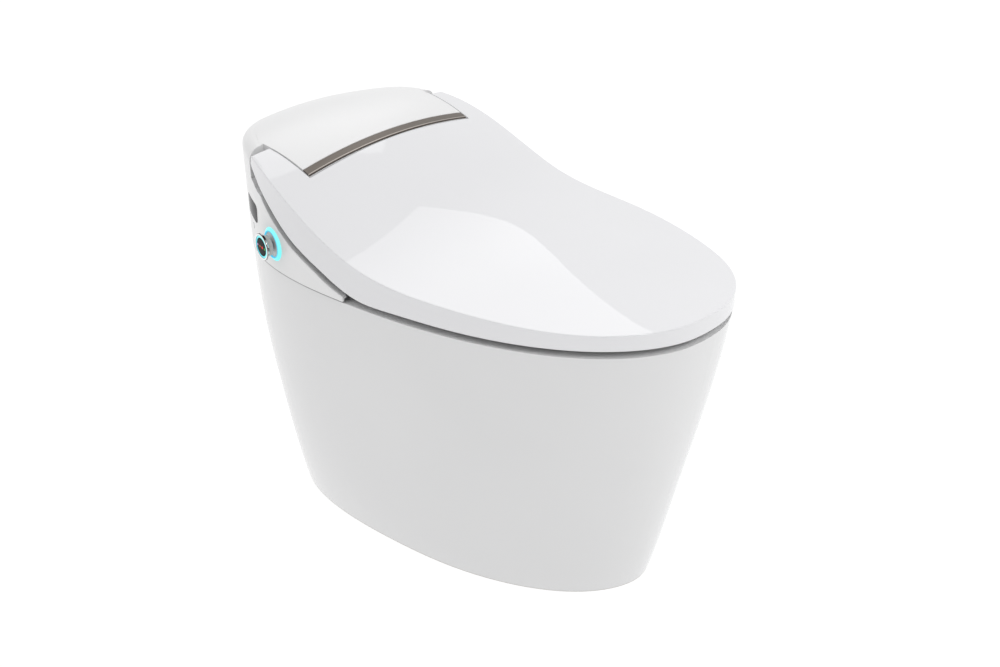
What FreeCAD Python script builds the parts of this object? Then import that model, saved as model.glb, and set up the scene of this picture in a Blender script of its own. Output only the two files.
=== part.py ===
import FreeCAD, Part
import math
import os

V = FreeCAD.Vector
os.makedirs("parts", exist_ok=True)

# Floor-standing toilet with a wash unit behind the seat.  Millimetres, +Z up,
# the user's side is -Y, the origin is the waste outlet's centre on the floor.

# ---- plan of the whole object -------------------------------------------------
FRONT = 375.0          # outlet centre to the lid's tip
BACK = 295.0           # outlet centre to the end of the rounded plan
BACK_FLAT = 289.0      # outlet centre to the pan's flat back
HALF = 204.5           # half of the lid's width
FRONT_N = 2.30         # fullness of the egg-shaped front, along the length
FRONT_M = 2.18         # the same, across
REAR_N = 2.42          # fullness of the rounded rear
RIM_Z = 380.0          # top of the china
HIGH = RIM_Z + 260.0   # clear above everything, where cutting bodies end

# ---- china pan ----------------------------------------------------------------
PAN_INSET = 1.5        # lid edge to china edge
PAN_WALL = 11.0
FOOT_HALF = 147.0      # half width at the floor
FOOT_FRONT = 302.0     # outlet centre to the toe at the floor
FOOT_BACK = 257.0      # outlet centre to the foot's rounded rear at the floor
FOOT_REAR_N = 2.66     # fullness of the foot's rear
FOOT_FRONT_N = 2.18    # fullness of the foot's front, along and across
FOOT_FRONT_M = 1.90
REAR_FILL = 1.49       # above 1, the rear runs back mostly near the rim
REAR_BULGE = 0.36      # extra fullness of the rear at mid height
RIM_DEEP = 30.0        # height of the solid rim
BOWL_HALF = 116.0
BOWL_FRONT = 327.0     # outlet centre to the bowl's front edge
BOWL_REAR = 27.0       # outlet centre to the bowl's rear edge
BOWL_DEPTH = 222.0
BOWL_WALL = 11.0
TRAP_R = 27.0
TRAP_WALL = 9.0
OUTLET_R = 40.0
OUTLET_WALL = 11.0
OUTLET_LONG = 60.0
BULKHEAD_Y = 6.0       # rear face of the solid rim behind the bowl
SLOT_HALF = 52.0       # notch in the rim for the nozzles and the dryer
SLOT_FRONT = 59.0      # outlet centre to the notch's front end, over the bowl
SLOT_DEEP = 46.0
SERVICE_HALF = 70.0    # opening in the rear wall, behind the tank
SERVICE_LOW = 60.0
SERVICE_TOP = 226.0

# ---- lid ----------------------------------------------------------------------
LID_WALL = 3.0
LID_SKIN = 3.0
LID_PANEL = 2.2
PANEL_CLEAR = 0.15
LID_GAP = 9.0          # lid edge above the rim
EAR_IN = 150.2         # inner face of each hinge ear
HINGE_Y = 160.0
HINGE_RISE = 120.0     # hinge axis above the lid surface's base height
EAR_R = 24.5
REAR_R = 54.6          # lid's rear edge, about the hinge
PIN_R = 5.0
PIN_CLEAR = 0.06
EAR_WALL = 2.2

# ---- seat ---------------------------------------------------------------------
SEAT_INSET = 11.0
SEAT_UNDER = 4.0       # seat underside above the rim
SEAT_THICK = 18.0
SEAT_SHELL = 9.0       # height of the lower shell
SEAT_HOLE_HALF = 107.0
SEAT_HOLE_FRONT = 316.0
SEAT_HOLE_REAR = 50.0
SEAT_BACK = 6.0        # rear edge of the ring
TOP_BASE = RIM_Z + SEAT_UNDER + SEAT_THICK - 22.0
HINGE_Z = TOP_BASE + HINGE_RISE
ARM_IN = 152.7
ARM_WIDE = 13.0
ARM_HUB_R = 10.0

# ---- wash unit ----------------------------------------------------------------
UNIT_BACK = 285.0
UNIT_INSET = 0.2
HOUSING_TIP = 7.0      # outlet centre to the housing's two front tips
HOUSING_LIFT = 0.8     # open joint between the housing and the china
TIP_SOFT = 3.0
WALL = 3.0
NOTCH_R = 28.5
CROWN_R = 15.0         # rounding of the rear top edge
COVER_HALF = 148.0     # half width of the cover between the ears
COVER_INSET = 17.5     # cover edge inside the housing's plan, behind the ears
JOINT_GAP = 0.1        # cover edge to the housing, a snap fit
STRIP_FRONT = 109.0
STRIP_WIDE = 11.0
STRIP_THICK = 1.6
LID_SOFT = 1.4         # rounding of the lid's outer edges
SOFT = 0.5             # rounding along the narrow joints
BLOCK_HALF = 146.0
BLOCK_FRONT = 16.0
BLOCK_BACK = 98.0
BLOCK_UNDER = 14.0     # block top under the lid's surface
PLATE = 3.0

# ---- knob ---------------------------------------------------------------------
KNOB_Y = 138.8
KNOB_Z = RIM_Z + 35.3
KNOB_R = 17.1          # the turning cap
KNOB_FACE = 16.0       # housing face to the cap's front
CAP_LONG = 3.2
CAP_FLOOR = 0.6
CAP_LIP = 2.7          # width of the cap's rim round the display
NECK_R = 13.0
NECK_BACK = 5.6        # housing face to the neck's back end
KNOB_TRAVEL = 2.0
RING_R = 21.3          # light ring at the housing face
RING_IN = 16.4         # its inner edge, further out
RING_HIGH = 3.0
DISH_HIGH = 1.2
SHAFT_R = 3.0
CORE_R = 7.9
KNOB_CLEAR = 0.08
DISPLAY_R = 11.8

# ---- nozzles and dryer --------------------------------------------------------
NOZZLE_R = 7.0
NOZZLE_LONG = 128.0
NOZZLE_STROKE = 105.0
NOZZLE_TILT = 25.0
NOZZLE_X = (-26.0, -6.0)
NOZZLE_MOUTH_Y = 2.0
NOZZLE_MOUTH_Z = RIM_Z - 18.0
DUCT_X = 30.0
DUCT_HALF = 14.0
DUCT_HIGH = 20.0
FAN_R = 36.0


def save(name, shape):
    shape.exportStep("parts/" + name + ".step")


def half_egg(half, reach, n, m, count, sign):
    # a quarter turn of a superellipse from the side to the tip
    pts = []
    for i in range(count):
        a = math.pi / 2 * i / count
        x = half * math.cos(a) ** (2 / m)
        y = reach * math.sin(a) ** (2 / n)
        pts.append((x, sign * y))
    return pts


def egg_points(front, back, half, rear_n=REAR_N, front_n=FRONT_N, front_m=FRONT_M, z=0.0):
    rear = half_egg(half, back, rear_n, rear_n, 6, 1)
    nose = half_egg(half, front, front_n, front_m, 6, -1)
    right = nose[:0:-1] + rear
    pts = [(0.0, -front)] + right + [(0.0, back)]
    pts += [(-x, y) for x, y in reversed(right)]
    return [V(x, y, z) for x, y in pts]


def closed_face(points):
    curve = Part.BSplineCurve()
    curve.interpolate(Points=points, PeriodicFlag=True)
    return Part.Face(Part.Wire([curve.toShape()]))


def egg_prism(inset, low, high, back=BACK, half=HALF):
    pts = egg_points(FRONT - inset, back - inset, half - inset, z=low)
    return closed_face(pts).extrude(V(0, 0, high - low))


def box(x0, y0, z0, x1, y1, z1):
    return Part.makeBox(x1 - x0, y1 - y0, z1 - z0, V(x0, y0, z0))


def rod_x(x0, x1, y, z, r):
    return Part.makeCylinder(r, x1 - x0, V(x0, y, z), V(1, 0, 0))


def mirrored(shape):
    return shape.mirror(V(0, 0, 0), V(1, 0, 0))


def softened(shape, radius, wanted):
    # rounds the edges that the test picks by their length and extents
    return shape.makeFillet(radius, [e for e in shape.Edges if wanted(e.Length, e.BoundBox)])


# ---- the surface that lid, strip and cover share --------------------------------
# Each row: distance behind the outlet, centre-line height, drop towards 200 mm out.
TOP_ROWS = [
    (-FRONT - 20.0, 30.6, 8.0), (-FRONT + 20.0, 30.6, 8.0), (-FRONT + 60.0, 31.3, 8.0),
    (-260.0, 34.2, 8.2), (-195.0, 40.0, 8.8), (-135.0, 45.4, 9.6), (-90.0, 49.6, 10.4),
    (-50.0, 56.6, 12.3), (-10.0, 69.0, 15.0), (30.0, 88.0, 17.9), (70.0, 110.5, 20.8),
    (110.0, 132.0, 23.0), (150.0, 146.5, 22.3), (185.0, 152.5, 20.0), (220.0, 154.0, 20.5),
    (255.0, 149.0, 25.0), (BACK - 5.0, 138.0, 30.0), (BACK + 20.0, 125.0, 32.0),
]


def top_surface(lower):
    grid = []
    reach = HALF + 27.5
    for y, mid, arch in TOP_ROWS:
        row = []
        for i in range(9):
            x = reach * (i - 4) / 4
            row.append(V(x, y, TOP_BASE + mid - arch * (x / 200.0) ** 2 - lower))
        grid.append(row)
    surface = Part.BSplineSurface()
    surface.interpolate(grid)
    return surface.toShape()


def under_top(lower, depth=400.0):
    return top_surface(lower).extrude(V(0, 0, -depth))


def profile_x(points, half=300.0, smooth=None):
    # outline in the YZ plane, carried across the whole width
    edges = []
    start = 0
    if smooth:
        curve = Part.BSplineCurve()
        curve.interpolate([V(-half, y, z) for y, z in smooth])
        edges.append(curve.toShape())
        chain = [smooth[-1]] + points + [smooth[0]]
    else:
        chain = points + [points[0]]
    for a, b in zip(chain[:-1], chain[1:]):
        edges.append(Part.makeLine(V(-half, a[0], a[1]), V(-half, b[0], b[1])))
    face = Part.Face(Part.Wire(edges))
    return face.extrude(V(2 * half, 0, 0))


LID_EDGE = [
    (-FRONT - 55.0, 0.0), (-300.0, 0.0), (-160.0, 0.0), (-60.0, 0.0), (-22.0, 0.6), (8.0, 7.6),
    (38.0, 20.0), (70.0, 33.5), (98.0, 47.0), (120.0, 61.5), (140.0, 76.0), (160.0, 91.5),
    (190.0, 121.0),
]
HOUSING_EDGE = [
    (-5.0, 4.5), (12.0, 9.5), (29.0, 15.0), (46.0, 22.5), (64.0, 30.5), (83.0, 38.5),
    (103.0, 48.0), (121.0, 58.5), (145.0, 75.2), (162.0, 90.5), (190.0, 122.0),
]


def lid_edge_curve():
    return [(y, RIM_Z + LID_GAP + dz) for y, dz in LID_EDGE]


def housing_edge_curve():
    return [(y, RIM_Z + dz) for y, dz in HOUSING_EDGE]


# ---- china pan ------------------------------------------------------------------
# Share of the way from foot to rim, up the height: how far the skirt has widened.
FLARE = [(0.0, 0.0), (0.158, 0.195), (0.342, 0.39), (0.526, 0.587), (0.711, 0.778),
         (0.868, 0.914), (1.0, 1.0)]


def between(foot, rim, share):
    return foot + (rim - foot) * share


def skirt(inset, low, high):
    wires = []
    for height, widened in FLARE:
        half = between(FOOT_HALF, HALF - PAN_INSET, widened) - inset
        nose = between(FOOT_FRONT, FRONT - PAN_INSET, widened) - inset
        back = between(FOOT_BACK, BACK, widened ** REAR_FILL) - inset
        rear_n = between(FOOT_REAR_N, REAR_N, widened) + 4 * REAR_BULGE * widened * (1 - widened)
        front_n = between(FOOT_FRONT_N, FRONT_N, widened)
        front_m = between(FOOT_FRONT_M, FRONT_M, widened)
        z = low + (high - low) * height
        pts = egg_points(nose, back, half, rear_n=rear_n, front_n=front_n, front_m=front_m, z=z)
        curve = Part.BSplineCurve()
        curve.interpolate(Points=pts, PeriodicFlag=True)
        wires.append(Part.Wire([curve.toShape()]))
    return Part.makeLoft(wires, True)


def oval(half, reach, y, z):
    if reach > half:
        shape = Part.Ellipse(V(0, y + reach, z), V(half, y, z), V(0, y, z))
    else:
        shape = Part.Ellipse(V(half, y, z), V(0, y + reach, z), V(0, y, z))
    return Part.Wire([shape.toShape()])


BOWL_Y = -(BOWL_FRONT + BOWL_REAR) / 2
SUMP_Y = -116.0
SUMP_Z = RIM_Z - BOWL_DEPTH
# depth share, size share, how far the centre has moved to the sump
BOWL_ROWS = [(-0.02, 1.0, 0.0), (0.14, 0.985, 0.0), (0.38, 0.9, 0.12), (0.66, 0.69, 0.45),
             (0.9, 0.4, 0.86), (1.0, 0.27, 1.0)]
OUTER_ROWS = [(0.05, 0.995, 0.0)] + BOWL_ROWS[1:]


def bowl(grow, rows):
    wires = []
    for depth, size, moved in rows:
        half = BOWL_HALF * size + grow
        reach = (BOWL_FRONT - BOWL_REAR) / 2 * size + grow
        y = BOWL_Y + (SUMP_Y - BOWL_Y) * moved
        wires.append(oval(half, reach, y, RIM_Z - BOWL_DEPTH * depth - (grow if depth == 1.0 else 0)))
    return Part.makeLoft(wires, True)


WEIR_Z = SUMP_Z + 120.0
TRAP_PATH = [V(0, SUMP_Y, SUMP_Z + 22), V(0, -58, SUMP_Z + 16), V(0, -20, WEIR_Z),
             V(0, 0, WEIR_Z - 46), V(0, 0, OUTLET_LONG)]


def tube_along(path, r):
    solid = Part.makeSphere(r, path[0])
    for a, b in zip(path[:-1], path[1:]):
        step = b.sub(a)
        solid = solid.fuse(Part.makeCylinder(r, step.Length, a, step))
        solid = solid.fuse(Part.makeSphere(r, b))
    return solid


LUG_X = 118.0
LUG_Y = 140.0
LUG_WIDE = 30.0
LUG_HIGH = 44.0
BRACKET_T = 4.0
BRACKET_OUT = 34.0
FLOOR_HOLE_R = 4.5
FLOOR_HOLE_X = 102.0
SIDE_SCREW_R = 3.0
UNIT_SCREW_R = 2.0
UNIT_SCREW_DEEP = 14.0
UNIT_SCREW_Y = (62.0, 226.0)


def egg_x(y, inset, back=BACK):
    return (HALF - inset) * (1 - (abs(y) / (back - inset)) ** REAR_N) ** (1 / REAR_N)


def unit_screw_places():
    places = []
    for y in UNIT_SCREW_Y:
        x = egg_x(y, UNIT_INSET + WALL + UNIT_SCREW_R * 1.9 + 0.5)
        places += [(x, y), (-x, y)]
    return places


def make_pan():
    outer = skirt(0, 0, RIM_Z)
    inner = skirt(PAN_WALL, -1, RIM_Z + 1)
    slab = box(-300, -500, RIM_Z - RIM_DEEP, 300, BULKHEAD_Y + PAN_WALL, RIM_Z + 20)
    back_wall = box(-300, BACK_FLAT - PAN_WALL, -5, 300, BACK + 20, RIM_Z + 20)
    shell = outer.cut(inner.cut(slab).cut(back_wall))
    bowl_out = bowl(BOWL_WALL, OUTER_ROWS)
    trap = tube_along(TRAP_PATH, TRAP_R + TRAP_WALL)
    trap = trap.fuse(Part.makeCylinder(OUTLET_R + OUTLET_WALL, OUTLET_LONG + 12))
    body = shell.fuse(bowl_out).fuse(trap)
    for side in (-1, 1):
        lug = box(LUG_X, LUG_Y - LUG_WIDE / 2, BRACKET_T, LUG_X + 16, LUG_Y + LUG_WIDE / 2, LUG_HIGH)
        if side < 0:
            lug = mirrored(lug)
        body = body.fuse(lug.common(outer))
    body = body.cut(bowl(0, BOWL_ROWS))
    body = body.cut(tube_along(TRAP_PATH, TRAP_R))
    body = body.cut(Part.makeCylinder(OUTLET_R, OUTLET_LONG, V(0, 0, 0)))
    body = body.cut(box(-SLOT_HALF, -SLOT_FRONT, RIM_Z - SLOT_DEEP, SLOT_HALF, 60, RIM_Z + 1))
    for side in (-1, 1):
        hole = rod_x(LUG_X - 1, LUG_X + 9, LUG_Y, LUG_HIGH / 2, SIDE_SCREW_R)
        body = body.cut(hole if side > 0 else mirrored(hole))
    for x, y in unit_screw_places():
        body = body.cut(Part.makeCylinder(UNIT_SCREW_R, UNIT_SCREW_DEEP + 1, V(x, y, RIM_Z - UNIT_SCREW_DEEP)))
    jet = pipe_path()
    aim = jet[2].sub(jet[1])
    body = body.cut(Part.makeCylinder(PIPE_R - 3.5, aim.Length, jet[1], aim))
    body = body.cut(box(-400, BACK_FLAT, -5, 400, BACK + 20, RIM_Z + 20))
    service = box(-SERVICE_HALF, FOOT_BACK - PAN_WALL - 10, SERVICE_LOW, SERVICE_HALF, BACK + 20, SERVICE_TOP)
    return body.cut(service)


SEAL_HIGH = 18.0
SEAL_WALL = 11.0


def make_seal():
    r = OUTLET_R + OUTLET_WALL
    ring = Part.makeCylinder(r + SEAL_WALL, SEAL_HIGH)
    return ring.cut(Part.makeCylinder(r, SEAL_HIGH))


def make_brackets():
    solids = []
    for side in (1, -1):
        y0, y1 = LUG_Y - LUG_WIDE / 2, LUG_Y + LUG_WIDE / 2
        foot = box(LUG_X - BRACKET_OUT, y0, 0, LUG_X, y1, BRACKET_T)
        leg = box(LUG_X - BRACKET_T, y0, 0, LUG_X, y1, LUG_HIGH)
        one = foot.fuse(leg)
        one = one.cut(Part.makeCylinder(FLOOR_HOLE_R, 20, V(FLOOR_HOLE_X, LUG_Y, -5)))
        one = one.cut(rod_x(LUG_X - 20, LUG_X + 5, LUG_Y, LUG_HIGH / 2, SIDE_SCREW_R))
        solids.append(one if side > 0 else mirrored(one))
    return Part.makeCompound(solids)


def make_bracket_screws():
    solids = []
    for side in (1, -1):
        shank = rod_x(LUG_X - BRACKET_T, LUG_X + 8, LUG_Y, LUG_HIGH / 2, SIDE_SCREW_R)
        head = rod_x(LUG_X - BRACKET_T - 4, LUG_X - BRACKET_T, LUG_Y, LUG_HIGH / 2, 5.5)
        one = shank.fuse(head)
        solids.append(one if side > 0 else mirrored(one))
    return Part.makeCompound(solids)


# ---- base of the wash unit --------------------------------------------------------
GASKET_IN = 5.0
GASKET_WIDE = 4.5
GASKET_HIGH = 1.2
PLATE_FRONT = 16.0
PLATE_Z = RIM_Z + GASKET_HIGH
PLATE_TOP = PLATE_Z + PLATE
NOTCH_HALF = SLOT_HALF + 2.0
NOTCH_BACK = 96.0


def make_gasket():
    start = PLATE_FRONT + 2
    end = UNIT_BACK_Y - WALL - 0.5
    ring = egg_prism(PAN_INSET + GASKET_IN - 1.2, RIM_Z, PLATE_Z)
    ring = ring.common(box(-300, start, RIM_Z - 1, 300, end, PLATE_Z + 1))
    inner = egg_prism(PAN_INSET + GASKET_IN - 1.2 + GASKET_WIDE, RIM_Z - 1, PLATE_Z + 1)
    ring = ring.cut(inner.common(box(-300, -300, RIM_Z - 1, 300, end - GASKET_WIDE, PLATE_Z + 1)))
    for x, y in unit_screw_places():
        ring = ring.cut(Part.makeCylinder(UNIT_SCREW_R, 9, V(x, y, RIM_Z - 4)))
    return ring


def make_base_plate():
    plate = egg_prism(PAN_INSET + GASKET_IN - 1.2, PLATE_Z, PLATE_TOP)
    plate = plate.common(box(-300, PLATE_FRONT, 0, 300, UNIT_BACK_Y - WALL - 0.5, HIGH - 40))
    plate = plate.cut(box(-NOTCH_HALF, 0, 0, NOTCH_HALF, NOTCH_BACK, HIGH - 40))
    for x, y in unit_screw_places():
        plate = plate.cut(Part.makeCylinder(UNIT_SCREW_R, 20, V(x, y, RIM_Z - 4)))
    return plate


def make_unit_screws():
    solids = []
    for x, y in unit_screw_places():
        shank = Part.makeCylinder(UNIT_SCREW_R, UNIT_SCREW_DEEP + PLATE_TOP - RIM_Z,
                                  V(x, y, RIM_Z - UNIT_SCREW_DEEP))
        head = Part.makeCylinder(UNIT_SCREW_R * 1.9, 2.4, V(x, y, PLATE_TOP))
        solids.append(shank.fuse(head))
    return Part.makeCompound(solids)


# ---- housing, cover, strip --------------------------------------------------------
REAR_Y = HINGE_Y + NOTCH_R
UNIT_BACK_Y = UNIT_BACK - 2.0


def unit_profile(lower):
    # everything below the housing's stepped outline, seen from the side
    smooth = [(y, z - lower) for y, z in housing_edge_curve() if y < REAR_Y - 12]
    last = (REAR_Y + lower, smooth[-1][1] + 14)
    points = [last, (REAR_Y + lower, HIGH - 20), (UNIT_BACK_Y - lower, HIGH - 20),
              (UNIT_BACK_Y - lower, RIM_Z - 30), (smooth[0][0], RIM_Z - 30)]
    return profile_x(points, smooth=smooth)


def rounded_top(solid, radius):
    edges = []
    for edge in solid.Edges:
        b = edge.BoundBox
        if b.ZMin > RIM_Z + 90 and b.YMax > REAR_Y + 40 and edge.Length > 100:
            edges.append(edge)
    return solid.makeFillet(radius, edges)


def rear_mass(inset):
    body = egg_prism(UNIT_INSET + inset, RIM_Z + (-20 if inset else HOUSING_LIFT), HIGH - 20)
    body = body.common(box(-300, REAR_Y + inset, 0, 300, UNIT_BACK_Y - inset, HIGH))
    body = body.common(under_top(inset))
    return rounded_top(body, CROWN_R - inset)


def front_mass(inset):
    low = RIM_Z + (-20 if inset else HOUSING_LIFT)
    body = egg_prism(UNIT_INSET + inset, low, HIGH - 20)
    body = body.common(box(-300, HOUSING_TIP if inset == 0 else -5, 0, 300, REAR_Y + inset, HIGH))
    return body.common(unit_profile(inset))


def cover_plan(shrink, low, high):
    front = box(-COVER_HALF + shrink, STRIP_FRONT + shrink, low, COVER_HALF - shrink, REAR_Y + 6, high)
    rear = egg_prism(COVER_INSET + shrink, low, high)
    rear = rear.common(box(-300, REAR_Y + shrink + 4, low, 300, UNIT_BACK_Y - CROWN_R - 1 - shrink, high))
    return front.fuse(rear)


def knob_place(shape):
    x = -egg_x(KNOB_Y, UNIT_INSET)
    gx = (abs(x) / (HALF - UNIT_INSET)) ** (REAR_N - 1) / (HALF - UNIT_INSET)
    gy = (KNOB_Y / (BACK - UNIT_INSET)) ** (REAR_N - 1) / (BACK - UNIT_INSET)
    turn = math.degrees(math.atan2(gy, gx))
    out = shape.copy()
    out.rotate(V(0, 0, 0), V(0, 1, 0), -90)
    out.rotate(V(0, 0, 0), V(0, 0, 1), -turn)
    out.translate(V(x, KNOB_Y, KNOB_Z))
    return out


WINDOW_Y = 199.0
WINDOW_Z = RIM_Z + 61.0
WINDOW_LONG = 40.0
WINDOW_HIGH = 27.0
WINDOW_R = 7.0
WINDOW_T = 1.8
WINDOW_TILT = 8.0
SLOT_MARK_Y = 199.5
SLOT_MARK_Z = RIM_Z + 37.0
SLOT_MARK_WIDE = 2.4
SLOT_MARK_HIGH = 9.0


def side_inlay(y, z, wide, high, r, tilt, thick):
    # a rounded plate let into the left side wall, following its curve
    pad = box(-250, -wide / 2, -high / 2, -100, wide / 2, high / 2)
    edges = [e for e in pad.Edges if abs(e.Vertexes[0].Point.x - e.Vertexes[1].Point.x) > 10]
    pad = pad.makeFillet(r, edges)
    pad.rotate(V(0, 0, 0), V(1, 0, 0), tilt)
    pad.translate(V(0, y, z))
    skin = egg_prism(UNIT_INSET, RIM_Z + 5, RIM_Z + 120)
    skin = skin.cut(egg_prism(UNIT_INSET + thick, RIM_Z, RIM_Z + 125))
    return pad.common(skin)


def make_housing():
    rear = rear_mass(0)
    front = front_mass(0)
    body = rear.fuse(front)
    hollow_rear = rear_mass(WALL)
    hollow_front = front_mass(WALL)
    inner = hollow_rear.fuse(hollow_front)
    open_half = BLOCK_HALF + 0.3
    passage = box(-open_half, BLOCK_FRONT + 4, 0, open_half, REAR_Y + WALL + 1, HIGH)
    body = body.cut(inner).cut(passage.common(front.fuse(rear)))
    body = body.cut(box(-egg_x(20, 7.0), -10, 0, egg_x(20, 7.0), PLATE_FRONT - 3, HIGH))
    body = body.cut(box(-open_half, -10, 0, open_half, BLOCK_FRONT + 5, HIGH))
    body = body.cut(cover_plan(-JOINT_GAP, RIM_Z + 90, HIGH).common(box(-300, REAR_Y - 60, 0, 300, 400, HIGH)))
    for side in (1, -1):
        swing = rod_x(COVER_HALF + 0.5, 260, HINGE_Y, HINGE_Z, NOTCH_R)
        body = body.cut(swing if side > 0 else mirrored(swing))
    body = body.cut(knob_place(Part.makeCylinder(RING_R + 0.2, 60, V(0, 0, -20))))
    body = body.cut(side_inlay(WINDOW_Y, WINDOW_Z, WINDOW_LONG, WINDOW_HIGH, WINDOW_R, WINDOW_TILT, WINDOW_T))
    body = body.cut(side_inlay(SLOT_MARK_Y, SLOT_MARK_Z, SLOT_MARK_WIDE, SLOT_MARK_HIGH, 1.1, 0, WINDOW_T))
    body = body.cut(rod_back(INLET_X, REAR_PORT_Z, INLET_NECK_R, UNIT_BACK_Y - 9, UNIT_BACK_Y + 5))
    body = body.cut(rod_back(GLAND_X, REAR_PORT_Z, GLAND_R, UNIT_BACK_Y - 9, UNIT_BACK_Y + 5))
    body = biggest(body)
    body = softened(body, TIP_SOFT, lambda length, b: (
        2 < length < 8 and b.YMax < HOUSING_TIP + 0.1 and b.ZMin > RIM_Z + 5 and b.XMax - b.XMin > 2
        and max(-b.XMin, b.XMax) > HALF - UNIT_INSET - 1))
    return softened(body, 2 * SOFT, lambda length, b: length > 160 and b.ZMin > RIM_Z + 3 and b.ZMax < HINGE_Z - 20
                    and max(-b.XMin, b.XMax) > HALF - UNIT_INSET - 1)


def cover_floor():
    smooth = [(y, z + 0.4) for y, z in housing_edge_curve() if y < REAR_Y - 12]
    points = [(REAR_Y, smooth[-1][1] + 14), (REAR_Y, 300), (smooth[0][0], 300)]
    return profile_x(points, smooth=smooth)


def make_cover():
    hood = cover_plan(0, RIM_Z + 20, HIGH).common(under_top(0))
    front_inner = box(-COVER_HALF + WALL, STRIP_FRONT + WALL, 300, COVER_HALF - WALL, REAR_Y + 12, HIGH)
    rear_inner = box(-300, REAR_Y, 300, 300, 400, HIGH)
    hood = hood.cut(front_inner.fuse(rear_inner).common(under_top(WALL)))
    hood = hood.cut(cover_floor())
    strip = box(-400, STRIP_FRONT - 1, 300, 400, STRIP_FRONT + STRIP_WIDE, HIGH)
    hood = hood.cut(strip.cut(under_top(STRIP_THICK)))
    for side in (1, -1):
        hole = rod_x(COVER_HALF - WALL - 1, COVER_HALF + 1, HINGE_Y, HINGE_Z, PIN_R + 0.5)
        hood = hood.cut(hole if side > 0 else mirrored(hole))
    return softened(biggest(hood), SOFT, lambda length, b: (
        length > 70 and b.XMax - b.XMin < 0.1 and abs(abs(b.XMin) - COVER_HALF) < 0.1 and b.ZMin > HINGE_Z + 3
        or length > 290 and abs(b.YMin - STRIP_FRONT - STRIP_WIDE) < 0.2 and b.ZMin > HINGE_Z + 3))


def make_strip():
    band = box(-COVER_HALF, STRIP_FRONT, RIM_Z + 20, COVER_HALF, STRIP_FRONT + STRIP_WIDE - 0.3, HIGH)
    band = band.common(under_top(0)).cut(under_top(STRIP_THICK - 0.1))
    band = softened(band, 1.2, lambda length, b: length < 2 and b.YMax < STRIP_FRONT + 1)
    return softened(band, SOFT, lambda length, b: b.ZMax - b.ZMin > 3 and b.ZMin > HINGE_Z - 1.5)


def make_block():
    outer = box(-BLOCK_HALF, BLOCK_FRONT, PLATE_TOP, BLOCK_HALF, BLOCK_BACK, HIGH)
    inner = box(-BLOCK_HALF + WALL, BLOCK_FRONT + WALL, 300, BLOCK_HALF - WALL, BLOCK_BACK - WALL, HIGH)
    block = outer.common(under_top(BLOCK_UNDER)).cut(inner.common(under_top(BLOCK_UNDER + WALL)))
    lip = box(-BLOCK_HALF + WALL, BLOCK_BACK - WALL, PLATE_TOP, BLOCK_HALF - WALL, BLOCK_BACK, RIM_Z + 50)
    return block.cut(lip)


# ---- lid --------------------------------------------------------------------------
def lid_keep(solid):
    # trims a lid piece to its ears, its swinging rear edge and the space for the cover
    solid = solid.cut(box(-EAR_IN, HINGE_Y - 5, 0, EAR_IN, 640, HIGH))
    solid = solid.cut(rod_x(-EAR_IN, EAR_IN, HINGE_Y, HINGE_Z, REAR_R))
    behind = box(-400, HINGE_Y, 0, 400, 640, HIGH + 60)
    ends = rod_x(-400, 400, HINGE_Y, HINGE_Z, EAR_R)
    return solid.cut(behind.cut(ends))


def lid_block(inset, lower):
    solid = egg_prism(inset, RIM_Z - 50, HIGH).common(under_top(lower))
    edge = [(y, z) for y, z in lid_edge_curve()]
    below = profile_x([(edge[-1][0], 200), (edge[0][0], 200)], smooth=edge)
    return solid, below


def make_lid_shell():
    solid, below = lid_block(0, 0)
    hollow = egg_prism(LID_WALL, 300, HIGH + 20).common(under_top(LID_SKIN))
    keep = []
    for side in (1, -1):
        wall = box(EAR_IN, HINGE_Y - REAR_R - 8, 300, EAR_IN + EAR_WALL, 400, HIGH)
        boss = rod_x(ARM_IN + ARM_WIDE + 1.2, egg_x(HINGE_Y, 1.0), HINGE_Y, HINGE_Z, 11)
        keep.append(wall if side > 0 else mirrored(wall))
        keep.append(boss if side > 0 else mirrored(boss))
    lip = rod_x(-EAR_IN, EAR_IN, HINGE_Y, HINGE_Z, REAR_R + 3).common(under_top(0))
    keep.append(lip.cut(under_top(12)))
    for shape in keep:
        hollow = hollow.cut(shape)
    lid = lid_keep(solid.cut(below).cut(hollow))
    for side in (1, -1):
        bore = rod_x(EAR_IN - 1, PIN_END, HINGE_Y, HINGE_Z, PIN_R + PIN_CLEAR)
        lid = lid.cut(bore if side > 0 else mirrored(bore))
    lid = biggest(lid)
    lid = softened(lid, LID_SOFT, lambda length, b: (
        length > 600 and max(-b.XMin, b.XMax) > HALF - 1 and (b.ZMin > RIM_Z + 26 or b.YMax > HINGE_Y + 20)
        or 20 < length < 35 and b.ZMin > HINGE_Z + 15 and b.YMin > HINGE_Y + 10 and b.YMax > HINGE_Y + 18))
    return softened(lid, SOFT + 0.1, lambda length, b: (
        b.ZMin > HINGE_Z - 3.5 and b.YMin > HINGE_Y - REAR_R - 1 and b.YMax < HINGE_Y + 15 and (
            length > 15 and b.XMax - b.XMin < 0.1 and abs(abs(b.XMin) - EAR_IN) < 0.1 and b.ZMax > HINGE_Z + 15
            or length > 295 and b.ZMin > HINGE_Z - 3 and b.YMax < HINGE_Y - REAR_R + 2)))


PIN_END = 173.0
PIN_START = 126.0


def make_lid_panel():
    panel = egg_prism(LID_WALL + PANEL_CLEAR, RIM_Z - 50, HIGH).common(under_top(LID_SKIN + PANEL_CLEAR))
    panel = panel.cut(under_top(LID_SKIN + LID_PANEL))
    panel = panel.common(box(-400, -500, 300, 400, HINGE_Y - REAR_R - 9, HIGH))
    panel = panel.cut(rod_x(-EAR_IN, EAR_IN, HINGE_Y, HINGE_Z, REAR_R + 3.2))
    return panel


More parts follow.
